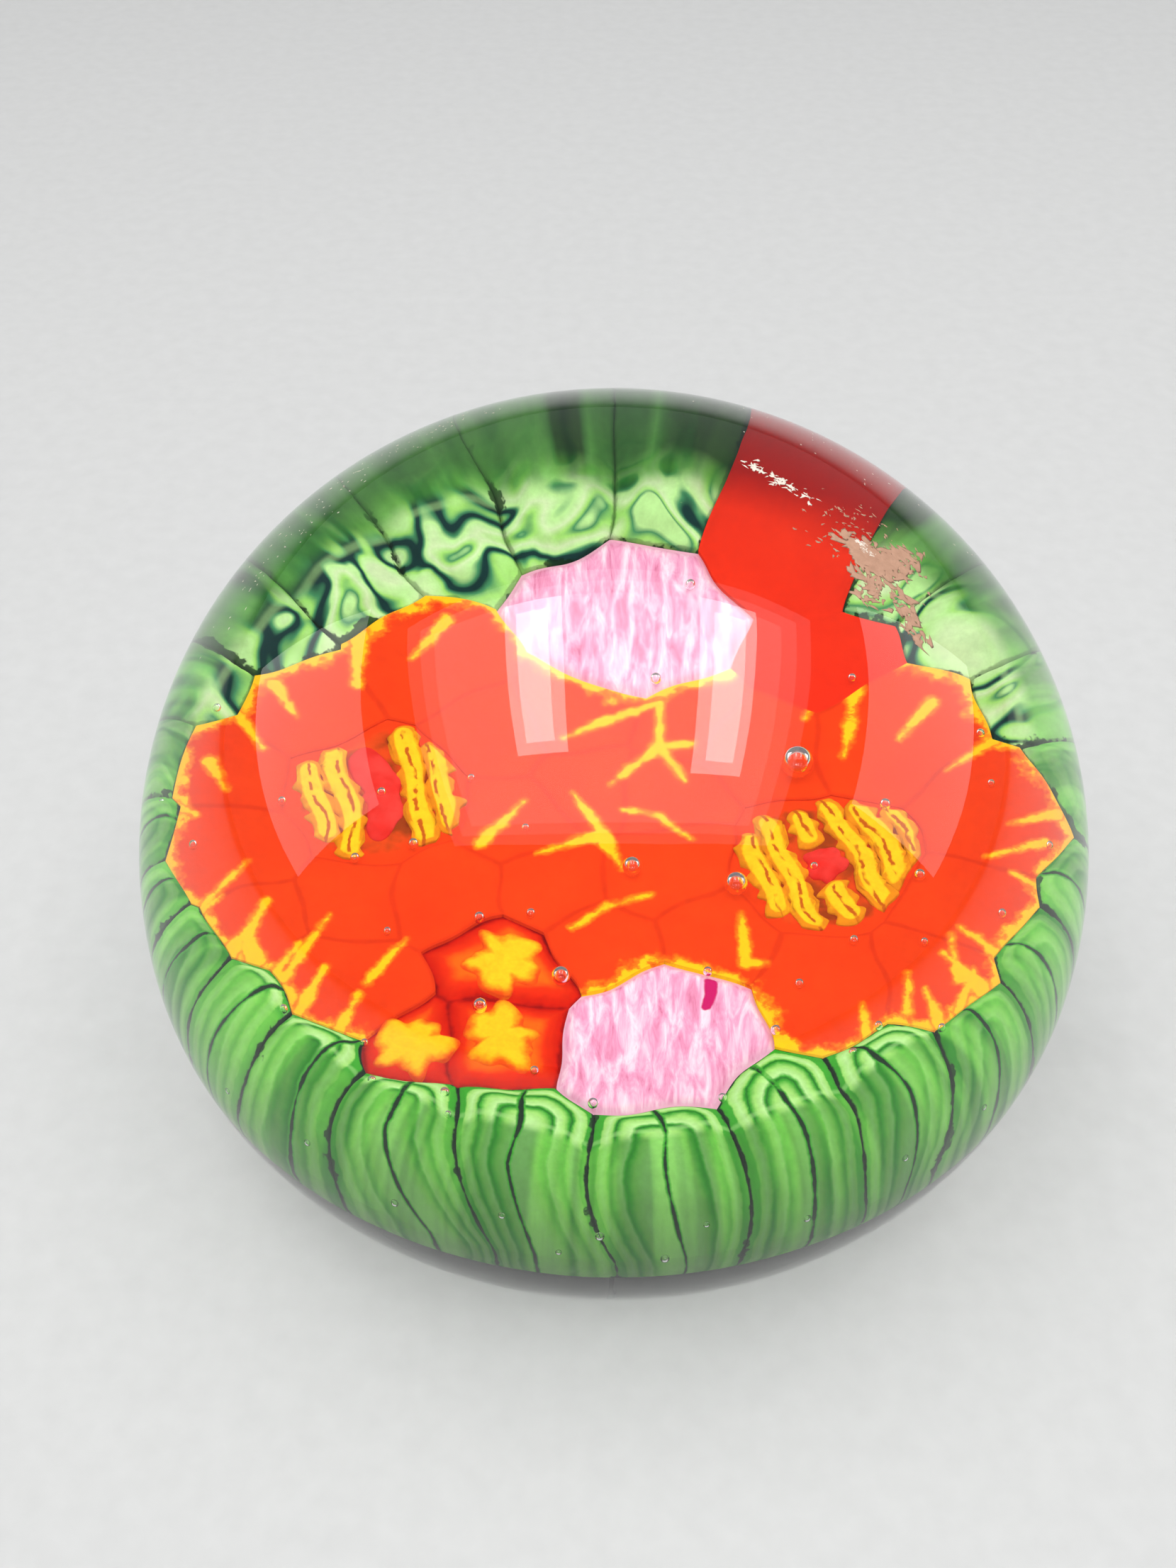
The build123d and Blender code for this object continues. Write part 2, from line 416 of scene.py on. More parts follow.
def wandering(tree, distance, amount, where):
    """Places the group that makes a border wander."""
    node = put(tree, "ShaderNodeGroup", node_tree=wander)
    tree.links.new(distance, node.inputs["Distance"])
    node.inputs["Amount"].default_value = amount
    tree.links.new(where, node.inputs["Where"])
    return node.outputs["Distance"]


def streaked(tree, colour, strength, where):
    """Places the group that streaks a colour."""
    node = put(tree, "ShaderNodeGroup", node_tree=streaks)
    tree.links.new(colour, node.inputs["Colour"])
    node.inputs["Strength"].default_value = strength
    tree.links.new(where, node.inputs["Where"])
    return node.outputs["Colour"]


# %% [markdown]
# ## Giving a cane its form
# A cane's visible end is its cell, laid on the bundle's skin. Along every seam the glass
# sank a little as it fused, so the end is a soft pillow with a groove round it. Soft glass
# also creeps: one smooth sideways flow bends all the seams, and neighbours bend together,
# so nothing gapes or overlaps.


# %% The form of one cane
fuse = 0.03  # millimetres that each cell is grown, which closes the CAD clearance


def creep(points):
    """Moves points sideways by slow waves, which fade out towards the bundle's skin."""
    x, y = points[..., 0], points[..., 1]
    fade = np.clip((24.5 - np.hypot(x, y)) / 5, 0, 1)
    across = 0.34 * np.sin(0.55 * y + 1.3) + 0.13 * np.sin(1.3 * y - 0.8 * x + 0.4)
    along = 0.34 * np.sin(0.50 * x - 0.8) + 0.13 * np.sin(1.2 * x + 0.9 * y + 2.0)
    moved = points.copy()
    moved[..., 0] += fade * across
    moved[..., 1] += fade * along
    return moved


def lean(points):
    """Turns points about the middle axis by a little that grows down the front wall,
    because the canes there were pushed over when the bundle was shaped."""
    turn = np.arctan2(points[..., 1], points[..., 0])
    away = reach(points)
    drop = np.clip((fold_height - points[..., 2]) / 6, 0, 1)
    front = np.clip((4 - points[..., 1]) / 8, 0, 1)
    pushed = 0.10 * np.exp(-(((turn + 2.06) / 0.32) ** 2))
    wave = 0.05 * np.sin(3 * turn + 0.6) + 0.03 * drop * np.sin(11 * turn)
    angle = front * drop * (wave + pushed)
    leaned = points.copy()
    leaned[..., 0] = away * np.cos(turn + angle)
    leaned[..., 1] = away * np.sin(turn + angle)
    return leaned


def middle_line(outline):
    """A rod's middle, the direction it is longest in, and the direction across that."""
    centre = outline.mean(axis=0)
    line = np.linalg.svd(outline - centre, full_matrices=False)[2][0]
    return centre, line, np.array([-line[1], line[0]])


lump_wave = 5.5  # radians for each millimetre along a finger
ripple_wave = 9.0
sway_wave = 2.6


def lumpy(points, outline, lumps):
    """Swells and narrows a rod along its length: the distance from its middle line is
    multiplied by one plus two waves along that line, and the line itself sways."""
    centre, line, side = middle_line(outline)
    along, across = (points - centre) @ line, (points - centre) @ side
    phase = 5 * centre.sum()
    swell = lumps * (np.sin(lump_wave * along + phase) + 0.5 * np.sin(ripple_wave * along - phase))
    sway = 0.5 * lumps * np.sin(sway_wave * along - phase)
    return points + (across * swell + sway)[..., None] * side


def cane_sheet(outline, around=96, rings=26, groove=0.25, groove_width=0.35, rise=0.0,
               ragged=0.0, lumps=0.0, grow=0.0, soft=0.03, extra=None):
    """One cane as rings: from the middle of its end out to the seam, down its side and
    in again underneath. The distance to the seam in each direction is the smallest of the
    sides' distances divided by the cosine between that direction and the side's. ragged
    makes that distance wave, and lumps swell a long rod, for outlines torn in drawing. The
    directions of the outline's own corners are among the steps, so corners stay sharp and
    three canes that meet leave no hole."""
    outward, offset, seam = sides_of(outline)
    centre = outline.mean(axis=0)
    spoke = outline - centre
    even = np.linspace(-np.pi, np.pi, around, endpoint=False)
    turn = np.unique(np.concatenate([even, np.arctan2(spoke[:, 1], spoke[:, 0])]).round(6))
    way = np.stack([np.cos(turn), np.sin(turn)], axis=1)
    facing = way @ outward.T
    room = offset + grow + fuse * seam - outward @ centre
    with np.errstate(divide="ignore"):
        border = np.where(facing > 1e-6, room / facing, np.inf).min(axis=1)
    phase = 5 * centre.sum()
    border = border * (1 + ragged * (np.sin(5 * turn + phase) + 0.5 * np.sin(8 * turn - phase)))
    out = np.sin(np.linspace(0, np.pi / 2, rings))
    flat = lumpy(centre + out[:, None, None] * border[:, None] * way, outline, lumps)
    edge = round_depth(flat, outward[seam], offset[seam], soft).clip(0)
    away = reach(flat)
    fade = np.clip((belly_radius - 1 - away) / 4, 0, 1)
    sunk = groove * fade * np.exp(-((edge / groove_width) ** 2))
    bulge = rise * np.sqrt(1 - out[:, None] ** 2)
    top = np.dstack([flat, skin_top(away) - sunk + bulge])
    low_height = np.minimum(skin_low(away[-1]), top[-1, :, 2] - 0.02)
    share = np.linspace(0, 1, 5)[1:-1, None]
    wall = np.repeat(top[-1:], 3, axis=0)
    wall[..., 2] = (1 - share) * top[-1, :, 2] + share * low_height
    inward = np.linspace(1, 0, 8)
    below = lumpy(centre + inward[:, None, None] * border[:, None] * way, outline, lumps)
    low = np.dstack([below, np.minimum(skin_low(reach(below)), low_height.max())])
    low[0, :, 2] = low_height
    points = np.concatenate([top, wall, low])
    depth = depth_inside(points, outward[seam], offset[seam]).clip(0)
    ring = round_depth(points, outward[seam], offset[seam], soft)
    sheet = {"points": lean(creep(points)), "edge": depth, "ring": ring}
    if extra:
        sheet.update(extra(points))
    return sheet


rng = np.random.default_rng(7)

# %% [markdown]
# ## Leaf canes
# Round the rim stand green canes. In section each one is a leaf: bands of lime and green
# that follow its outline, a dark skin, and a dark vein in the middle. The pattern is the
# same all the way down the rod, so on the side of the bundle the bands turn into stripes.
# A value called edge, the distance to the seam, draws the bands, and one called vein, the
# distance from the leaf's middle line, draws the vein.


# %% Leaf cane finish
def leaf_finish():
    """Leaf bands at the front, broad swirls behind, streaks down the wall, a dark skin, painted shade on
    the wall and behind the flowers, and a painted highlight along the fold.
    """
    material, tree, shader = new_material("leaf green glass", Specular_IOR_Level=0.0)
    where = place(tree)
    ring = wandering(tree, read(tree, "ring"), 0.32, where)
    along = maths(tree, "MULTIPLY_ADD", read(tree, "tone"), 0.05, maths(tree, "DIVIDE", ring, 3.2))
    skin = (0.002, 0.016, 0.004, 1)
    deep = (0.005, 0.12, 0.005, 1)
    mid = (0.032, 0.29, 0.014, 1)
    light = (0.28, 0.57, 0.12, 1)
    pale = (0.40, 0.66, 0.24, 1)
    front = ramp(tree, along, [
        (0.00, mid), (0.03, light), (0.13, pale), (0.20, light), (0.24, mid), (0.265, deep),
        (0.30, mid), (0.38, light), (0.50, pale), (0.55, mid), (0.58, deep), (0.62, mid),
        (0.72, light), (0.90, pale)])
    cream = (0.50, 0.64, 0.34, 1)
    teal = (0.045, 0.21, 0.085, 1)
    inky = (0.004, 0.026, 0.024, 1)
    swirl = grain(tree, place(tree, (1, 1, 0.4)), 5.5, 1.5, 0.4, 1.3)
    back = ramp(tree, swirl, [
        (0.25, cream), (0.37, pale), (0.40, light), (0.425, teal), (0.445, inky), (0.475, inky),
        (0.495, teal), (0.52, pale), (0.57, cream), (0.62, light), (0.645, teal), (0.67, pale)])
    bands = blend(tree, read(tree, "back"), front, back)
    # The wall carries the cane's striped pattern. It is also painted darker green than the top as painted
    # shade, and darker still towards the bottom of the wall.
    lift = put(tree, "ShaderNodeSeparateXYZ", where).outputs["Z"]
    lower = between(tree, lift, fold_height - 1.0, belly_height - 1.5)
    stripe = grain(tree, rim_place(tree), 2.2, 2.5, 0.6)
    wall = blend(tree, between(tree, stripe, 0.38, 0.62), (0.010, 0.16, 0.005, 1), (0.14, 0.47, 0.050, 1))
    wall = blend(tree, maths(tree, "MULTIPLY", lower, 0.4), wall, (0.010, 0.15, 0.005, 1))
    down = between(tree, read(tree, "away"), fold_radius + 0.1, fold_radius + 0.9)
    bands = blend(tree, maths(tree, "MULTIPLY", down, 0.76), bands, wall)
    # Painted highlight: a thin pale line along the fold, where the top turns down into the wall.
    highlight_crease = maths(tree, "ABSOLUTE", maths(tree, "SUBTRACT", read(tree, "away"), fold_radius))
    bands = blend(tree, maths(tree, "MULTIPLY", between(tree, highlight_crease, 0.30, 0.05), 0.30), bands, pale)
    edge = wandering(tree, read(tree, "edge"), 0.30, where)
    seam = maths(tree, "MULTIPLY", between(tree, edge, 0.13, 0.05),
                 maths(tree, "MULTIPLY_ADD", read(tree, "back"), -0.6, 1.0))
    bands = blend(tree, seam, bands, skin)
    cap = wandering(tree, read(tree, "edge"), 2.2, place(tree, (0.45, 0.45, 0.45)))
    bands = blend(tree, maths(tree, "MULTIPLY", between(tree, cap, -0.06, -0.16), 0.9), bands, skin)
    vein = wandering(tree, read(tree, "vein"), 0.25, where)
    bands = blend(tree, between(tree, vein, 0.26, 0.12), bands, mid)
    bands = blend(tree, between(tree, vein, 0.14, 0.06), bands, skin)
    # Painted shade: behind the flowers the shoulder and wall are darkened to dark green stripes.
    broad = grain(tree, rim_place(tree), 3.4, 1.5, 0.5)
    far_wall_shade = ramp(tree, broad, [
        (0.38, (0.003, 0.014, 0.004, 1)), (0.43, (0.020, 0.085, 0.016, 1)),
        (0.52, (0.052, 0.17, 0.032, 1)), (0.66, (0.022, 0.085, 0.018, 1))])
    bands = blend(tree, maths(tree, "MULTIPLY", read(tree, "far"), 0.92), bands, far_wall_shade)
    colour = streaked(tree, bands, 0.45, place(tree, (1, 1, 0.12)))
    coloured(tree, shader, colour)
    return material


leaf_material = leaf_finish()


# %% Leaf canes
def far_side_shade(points):
    """1 on the outer shoulder and wall behind the flowers, where painted shade darkens
    the canes, and 0 elsewhere."""
    outer = np.clip((reach(points) - 21.4) / 1.8, 0, 1)
    return outer * np.clip((points[..., 1] - 11) / 3, 0, 1)


def leaf_values(centre, tone):
    """Returns the function that measures each point of a leaf cane: vein is its distance
    from the upright plane through the middle axis and the cane's centre, and back is 1
    for the canes behind the flowers, which were made of swirled scraps."""
    side = np.array([-centre[1], centre[0]]) / np.hypot(*centre)
    back = np.clip((centre[1] - 3) / 5, 0, 1)

    def measure(points):
        return {"vein": np.abs(points[..., :2] @ side) + 3 * back, "tone": tone, "back": back,
                "far": far_side_shade(points), "away": reach(points)}

    return measure


for name in sorted(n for n in cells if n.startswith("leaf_cane")):
    outline = cells[name][0]
    values = leaf_values(outline.mean(axis=0), rng.uniform(-1, 1))
    sheet = cane_sheet(outline, around=120, rings=44, groove=0.35, groove_width=0.6, soft=0.32,
                       rise=0.95, extra=values)
    make_piece(name + "_glass", [sheet], leaf_material, [name])

# %% [markdown]
# ## Petals
# The three flowers are made of orange-red rods with yellow glass between some of them.
# The yellow was drawn out into tongues, which start at a seam and thin out to a point.
# Each tongue is a line, given with a width at each end. A value called tongue says
# how far a point is inside the nearest tongue, and the finish turns it yellow with an
# orange glow.

# %% Petal tongues: start x and y, end x and y, start width, end width, in millimetres
left_tongues = [
    (-20.0, 5.5, -19.5, 3.7, 0.45, 0.15), (-18.5, 9.0, -17.4, 6.3, 0.35, 0.12),
    (-12.3, 13.5, -12.6, 10.3, 0.55, 0.20), (-8.0, 14.5, -9.8, 12.0, 0.30, 0.10),
    (-18.8, -1.2, -21.5, -4.0, 0.12, 0.30), (-18.0, -4.0, -19.3, -6.5, 0.15, 0.45),
    (-19.3, -6.5, -19.0, -8.0, 0.45, 0.70), (-14.7, -5.2, -17.5, -9.5, 0.10, 0.35),
    (-10.8, -7.0, -13.0, -10.0, 0.08, 0.30), (-4.5, 2.2, -6.8, -0.5, 0.10, 0.40),
]
middle_tongues = [
    (-0.5, 0.0, -4.0, -1.3, 0.50, 0.08), (-0.5, 0.0, 0.5, -2.5, 0.50, 0.08),
    (-0.5, 0.0, -2.0, 2.8, 0.40, 0.06), (0.6, 1.7, 2.4, 1.2, 0.06, 0.20),
    (2.4, 1.2, 4.0, -0.3, 0.20, 0.06), (2.5, 6.0, 0.0, 3.5, 0.45, 0.08),
    (2.5, 6.0, 3.8, 3.6, 0.45, 0.08), (2.5, 6.0, 4.2, 6.2, 0.40, 0.10),
    (2.5, 6.0, 2.5, 9.0, 0.30, 0.12), (2.2, 8.9, 0.0, 7.9, 0.12, 0.30),
    (0.0, 7.9, -2.5, 6.5, 0.30, 0.06), (2.0, -4.2, -0.3, -5.0, 0.06, 0.22),
    (-0.3, -5.0, -2.2, -6.5, 0.22, 0.08),
]
right_tongues = [
    (12.2, 10.0, 11.8, 5.5, 0.45, 0.12), (10.9, 10.0, 9.8, 8.0, 0.15, 0.08),
    (19.0, -0.9, 22.0, 0.3, 0.08, 0.28), (17.5, -6.3, 18.2, -9.5, 0.08, 0.35),
    (6.7, -5.5, 6.8, -8.8, 0.10, 0.45), (6.8, -8.8, 8.0, -8.7, 0.40, 0.12),
    (15.5, -11.8, 15.4, -9.2, 0.40, 0.08), (18.4, -11.8, 19.0, -8.8, 0.40, 0.12),
]
border_tongues = [
    (-22.4, -5.0, -20.4, -3.4, 0.55, 0.05), (-20.6, -7.6, -18.4, -5.0, 0.60, 0.05),
    (-18.8, -10.2, -16.4, -7.0, 0.60, 0.05), (-17.0, -12.2, -15.2, -8.8, 0.55, 0.05),
    (-15.0, -13.8, -13.4, -10.6, 0.45, 0.05), (-22.8, 3.4, -21.2, 2.2, 0.40, 0.05),
    (-16.4, 10.4, -15.6, 8.2, 0.40, 0.05), (22.6, -3.0, 20.4, -1.8, 0.45, 0.05),
    (20.6, -7.8, 18.0, -5.8, 0.50, 0.05), (19.6, -10.2, 17.2, -7.6, 0.60, 0.05),
    (17.6, -13.2, 16.4, -10.2, 0.60, 0.05), (13.4, -14.0, 13.0, -11.4, 0.45, 0.05),
    (22.6, 2.4, 20.0, 1.4, 0.45, 0.05), (18.8, 6.8, 16.8, 4.8, 0.45, 0.05),
    (15.8, 9.0, 14.4, 6.8, 0.40, 0.05),
]
tongues = np.array(left_tongues + middle_tongues + right_tongues + border_tongues)


# %% Petal finish
def petal_finish():
    """Orange-red glass with crimson seams, a yellow rim and yellow tongues."""
    material, tree, shader = new_material("petal orange glass", Specular_IOR_Level=0.0)
    where = place(tree)
    red = (0.62, 0.028, 0.003, 1)
    orange = (0.70, 0.048, 0.005, 1)
    crimson = (0.36, 0.006, 0.003, 1)
    amber = (0.76, 0.17, 0.006, 1)
    yellow = (0.78, 0.42, 0.008, 1)
    body = blend(tree, grain(tree, place(tree, (1, 1, 0.1)), 3.5, 3.0), red, orange)
    seam = wandering(tree, read(tree, "edge"), 0.10, where)
    body = blend(tree, maths(tree, "MULTIPLY", between(tree, seam, 0.20, 0.04), 0.28), body, crimson)
    rim = wandering(tree, read(tree, "rim"), 1.7, where)
    body = blend(tree, between(tree, rim, 0.75, 0.25), body, amber)
    body = blend(tree, between(tree, rim, 0.36, 0.12), body, yellow)
    tongue = wandering(tree, read(tree, "tongue"), 0.55, place(tree, (1.4, 1.4, 1.4)))
    body = blend(tree, between(tree, tongue, -0.28, 0.02), body, amber)
    body = blend(tree, between(tree, tongue, -0.06, 0.10), body, yellow)
    colour = streaked(tree, body, 0.22, place(tree, (1, 1, 0.1)))
    coloured(tree, shader, colour)
    return material


petal_material = petal_finish()


# %% Petals
def tongue_depth(points):
    """How far each point is inside the nearest tongue: the tongue's width where the point
    is nearest to its line, drawn thin to four fifths, less the distance to that line."""
    start, end, width = tongues[:, :2], tongues[:, 2:4], tongues[:, 4:]
    along = end - start
    share = ((points[..., None, :2] - start) * along).sum(-1) / (along**2).sum(-1)
    share = share.clip(0, 1)
    near = start + share[..., None] * along
    away = np.hypot(*np.moveaxis(points[..., None, :2] - near, -1, 0))
    return (0.8 * (width[:, 0] + share * (width[:, 1] - width[:, 0])) - away).max(axis=-1)


red_cells = [
    sides_of(outline)
    for name in cells
    if "flower" in name or "small" in name or name == "red_cane_back"
    for outline in cells[name]
]


def petal_values(outline):
    """Returns the function that measures each point of a petal: rim is its distance from
    the sides that face a green or pink cane, and tongue is its depth in a tongue. What a
    side faces is found from a point just outside the side's middle."""
    outward, offset, seam = sides_of(outline)
    after = np.roll(outline, -1, axis=0)
    long_side = np.hypot(*(after - outline).T) > 0.002
    beyond = ((outline + after) / 2)[long_side] + 0.25 * outward
    faces_red = np.zeros(len(beyond), bool)
    for red_outward, red_offset, _ in red_cells:
        faces_red |= depth_inside(beyond, red_outward, red_offset) > -0.05
    open_side = seam & ~faces_red

    def measure(points):
        rim = np.full(points.shape[:-1], 9.0)
        if open_side.any():
            rim = depth_inside(points, outward[open_side], offset[open_side])
        return {"rim": rim, "tongue": tongue_depth(creep(points))}

    return measure


for flower in ("left", "middle", "right"):
    name = f"{flower}_flower_petals"
    sheets = [
        cane_sheet(outline, around=128, rings=34, groove=0.07, extra=petal_values(outline))
        for outline in cells[name]
    ]
    make_piece(name + "_glass", sheets, petal_material, [name])


# %% [markdown]
# ## Flower hearts
# In the middle of two flowers lies a bed of brown glass with yellow stamens in it, finger
# rods that stand a little proud of the bed, round a crimson pistil. The fingers were torn
# as they were drawn. They could be cut into more rods, but the CAD holds only these few, so
# each one keeps its place, swells and sways along its length, and a brown split is painted
# along it. A value called split, the distance from a finger's middle line, draws that.


# %% Heart finishes and pieces
def bed_finish():
    """Brown glass between the stamens that turns petal red towards its seams."""
    material, tree, shader = new_material("heart brown glass", Specular_IOR_Level=0.0)
    cloud = grain(tree, place(tree, (1, 1, 0.1)), 1.3, 3.0)
    brown = blend(tree, between(tree, cloud, 0.35, 0.65), (0.60, 0.05, 0.006, 1), (0.26, 0.035, 0.004, 1))
    edge = wandering(tree, read(tree, "edge"), 0.8, place(tree))
    colour = blend(tree, between(tree, edge, 1.1, 0.6), brown, (0.66, 0.038, 0.004, 1))
    coloured(tree, shader, streaked(tree, colour, 0.3, place(tree, (1, 1, 0.1))))
    return material


def pistil_finish():
    """Crimson glass that varies a little along the rod."""
    material, tree, shader = new_material("pistil crimson glass", Specular_IOR_Level=0.0)
    cloud = grain(tree, place(tree, (1, 1, 0.1)), 1.2, 3.0)
    colour = blend(tree, between(tree, cloud, 0.3, 0.7), (0.58, 0.018, 0.012, 1), (0.64, 0.04, 0.03, 1))
    coloured(tree, shader, streaked(tree, colour, 0.3, place(tree, (1, 1, 0.1))))
    return material


def yellow_finish(name, skin, glow, heart, glow_depth, split=None):
    """Yellow glass in a thin skin of another colour, with a glow between the two. Where a
    split colour is given, a line of it comes and goes along the rod's middle."""
    material, tree, shader = new_material(name, Specular_IOR_Level=0.0)
    edge = wandering(tree, read(tree, "edge"), glow_depth * 1.3, place(tree))
    colour = blend(tree, between(tree, edge, 0.0, glow_depth * 0.5), skin, glow)
    colour = blend(tree, between(tree, edge, glow_depth * 0.3, glow_depth), colour, heart)
    along = place(tree, (1, 1, 0.1))
    colour = streaked(tree, colour, 0.5, along)
    if split:
        middle = maths(tree, "ABSOLUTE", wandering(tree, read(tree, "split"), 0.45, along))
        torn = maths(tree, "MULTIPLY", between(tree, middle, 0.13, 0.05),
                     between(tree, grain(tree, along, 0.9, 1.0), 0.40, 0.50))
        colour = blend(tree, torn, colour, split)
    coloured(tree, shader, colour)
    return material


def split_values(outline):
    """For one finger, the distance of each of its points from its middle line."""
    centre, _, side = middle_line(outline)
    return lambda points: {"split": (points[..., :2] - centre) @ side}


bed_material = bed_finish()
pistil_material = pistil_finish()
stamen_material = yellow_finish(
    "stamen yellow glass", (0.62, 0.19, 0.006, 1), (0.74, 0.34, 0.006, 1),
    (0.78, 0.42, 0.010, 1), 0.09, split=(0.42, 0.075, 0.005, 1))
for flower in ("left", "right"):
    bed, fingers, pistil = (f"{flower}_flower_{part}" for part in ("heart", "stamens", "pistil"))
    make_piece(bed + "_glass", [cane_sheet(cells[bed][0], groove=0.15)],
               bed_material, [bed])
    sheets = [cane_sheet(o, around=96, rings=18, groove=0, rise=0.3, lumps=0.17, grow=0.20,
                         extra=split_values(o)) for o in cells[fingers]]
    make_piece(fingers + "_glass", sheets, stamen_material, [fingers])
    sheet = cane_sheet(cells[pistil][0], around=64, rings=16, groove=0, rise=0.3, ragged=0.10)
    make_piece(pistil + "_glass", [sheet], pistil_material, [pistil])


# %% [markdown]
# ## Pink canes and red canes
# The two pink canes are bundles of pink, white and magenta threads. The plain red cane is
# one colour of glass, and each small red cane is a red coat round a ragged yellow core.


# %% Pink canes
def pink_finish():
    """Pink, white and magenta threads along the rod."""
    material, tree, shader = new_material("pink fibre glass", Specular_IOR_Level=0.0)
    threads = grain(tree, place(tree, (1.5, 0.34, 0.1)), 0.9, 4.0, 0.62, 0.5)
    colour = ramp(tree, threads, [
        (0.24, (0.40, 0.05, 0.13, 1)), (0.34, (0.60, 0.19, 0.31, 1)), (0.45, (0.68, 0.28, 0.42, 1)),
        (0.55, (0.73, 0.42, 0.53, 1)), (0.65, (0.77, 0.58, 0.64, 1)), (0.76, (0.66, 0.29, 0.42, 1))])
    edge = wandering(tree, read(tree, "edge"), 0.25, place(tree))
    colour = blend(tree, between(tree, edge, 0.30, 0.04), colour, (0.66, 0.33, 0.42, 1))
    tongue = wandering(tree, read(tree, "tongue"), 0.2, place(tree))
    colour = blend(tree, between(tree, tongue, -0.08, 0.05), colour, (0.46, 0.01, 0.10, 1))
    coloured(tree, shader, colour)
    return material


def red_bar(points):
    """Depth inside the one red bar of the front pink cane, which stands upright in view."""
    x, y = points[..., 0], points[..., 1]
    return {"tongue": 0.30 - np.hypot(x - 4.6, y - np.clip(y, -12.2, -10.4))}


pink_material = pink_finish()
for name in ("pink_cane_front", "pink_cane_back"):
    sheet = cane_sheet(cells[name][0], around=128, rings=30, groove=0.35, extra=red_bar)
    make_piece(name + "_glass", [sheet], pink_material, [name])


# %% Plain red cane and the small canes
def red_finish():
    """Plain red glass, with painted shade that darkens it towards the rim behind the flowers."""
    material, tree, shader = new_material("red glass", Specular_IOR_Level=0.0)
    cloud = grain(tree, place(tree, (1, 1, 0.1)), 4.0, 3.0)
    colour = blend(tree, cloud, (0.60, 0.016, 0.004, 1), (0.68, 0.026, 0.005, 1))
    # Painted shade: dark red on the shoulder and wall behind the flowers.
    colour = blend(tree, read(tree, "far"), colour, (0.30, 0.004, 0.002, 1))
    colour = streaked(tree, colour, 0.15, place(tree, (1, 1, 0.1)))
    coloured(tree, shader, colour)
    return material


def coat_finish():
    """The red coat of a small cane."""
    material, tree, shader = new_material("red coat glass", Specular_IOR_Level=0.0)
    edge = wandering(tree, read(tree, "edge"), 0.45, place(tree))
    colour = ramp(tree, maths(tree, "DIVIDE", edge, 3.0), [
        (0.0, (0.24, 0.003, 0.002, 1)), (0.07, (0.52, 0.010, 0.002, 1)),
        (0.28, (0.62, 0.022, 0.003, 1)), (0.45, (0.72, 0.10, 0.004, 1))])
    coloured(tree, shader, streaked(tree, colour, 0.3, place(tree, (1, 1, 0.1))))
    return material


def core_sheet(outline, phase, rings=14, around=72):
    """The core as rings: a low dome over a ragged star, and its side down to the pad. The
    star's radius swings with the angle, two, five and nine times a turn."""
    centre = outline.mean(axis=0)
    size = np.hypot(*(outline - centre).T).mean()
    angle = np.linspace(0, 2 * np.pi, around, endpoint=False)
    swing = 0.20 * np.cos(5 * angle + phase) + 0.20 * np.cos(2 * angle + 1.7 * phase)
    radius = size * (1.36 + swing + 0.10 * np.sin(9 * angle + phase))
    way = np.stack([np.cos(angle), np.sin(angle)], axis=1)
    out = np.linspace(0, 1, rings)
    flat = centre + out[:, None, None] * radius[:, None] * way
    dome = 0.22 * np.sqrt(1 - out[:, None] ** 2) - 0.02
    top = np.dstack([flat, skin_top(reach(flat)) + dome])
    low = top[::-1].copy()
    low[..., 2] = pad_height
    inside = (1 - out[:, None]) * radius
    return {"points": creep(np.concatenate([top, low])), "edge": np.concatenate([inside, inside[::-1]])}


sheets = [cane_sheet(o, around=128, rings=40, groove=0.1, extra=lambda p: {"far": far_side_shade(p)})
          for o in cells["red_cane_back"]]
make_piece("red_cane_back_glass", sheets, red_finish(), ["red_cane_back"])
coat_material = coat_finish()
core_material = yellow_finish(
    "core yellow glass", (0.68, 0.06, 0.004, 1), (0.74, 0.20, 0.005, 1), (0.78, 0.42, 0.010, 1), 0.75)
for number, side in enumerate(("left", "middle", "right")):
    coat, core = (f"small_cane_{side}_{part}" for part in ("coat", "core"))
    make_piece(coat + "_glass", [cane_sheet(cells[coat][0], groove=0.3)],
               coat_material, [coat])
    make_piece(core + "_glass", [core_sheet(cells[core][0], 2.1 * number + 0.7)],
               core_material, [core])

# %% [markdown]
# ## Air bubbles
# Tiny bubbles of air were trapped on top of the canes and on the bundle's front wall. Air
# inside glass bends light the other way round, so a bubble is a sphere of glass with an
# index of 1 / 1.5. Their places are listed below.

# %% Bubble places: x, y and radius in millimetres
glass_index = 1.5
bubble_places = np.array([
    (9.5, 4.2, 0.80), (6.4, -4.0, 0.60), (1.0, -2.8, 0.50), (-2.8, -10.3, 0.50),
    (-7.1, -12.2, 0.40), (13.9, 2.0, 0.30), (15.8, -2.7, 0.30), (12.5, -7.3, 0.25),
    (10.4, -2.3, 0.22), (4.9, -9.7, 0.25), (9.7, -10.4, 0.25), (16.2, -7.2, 0.22),
    (20.3, -5.0, 0.25), (22.5, 0.0, 0.22), (19.0, 3.8, 0.20), (18.2, 7.0, 0.22),
    (12.0, 10.4, 0.22), (2.3, 10.3, 0.30), (-4.5, 0.2, 0.22), (-10.3, -0.8, 0.28),
    (-13.3, -1.6, 0.25), (-11.8, 2.8, 0.25), (-16.8, 2.5, 0.22), (-7.2, 3.7, 0.20),
    (-7.0, -6.0, 0.30), (-4.3, -5.7, 0.25), (-11.8, -6.7, 0.22), (-17.8, -12.0, 0.25),
    (-13.4, -14.5, 0.22), (-13.2, -17.3, 0.25), (-9.2, -18.2, 0.28), (-9.1, -19.8, 0.22),
    (-4.3, -16.6, 0.25), (-1.2, -19.0, 0.30), (5.7, -18.5, 0.25), (8.5, -13.7, 0.28),
    (12.7, -15.2, 0.25), (14.0, -13.2, 0.25), (17.6, -13.3, 0.25), (-23.2, 3.2, 0.25),
    (-21.7, -0.1, 0.25), (-19.3, 8.8, 0.22), (4.0, 16.4, 0.25),
])


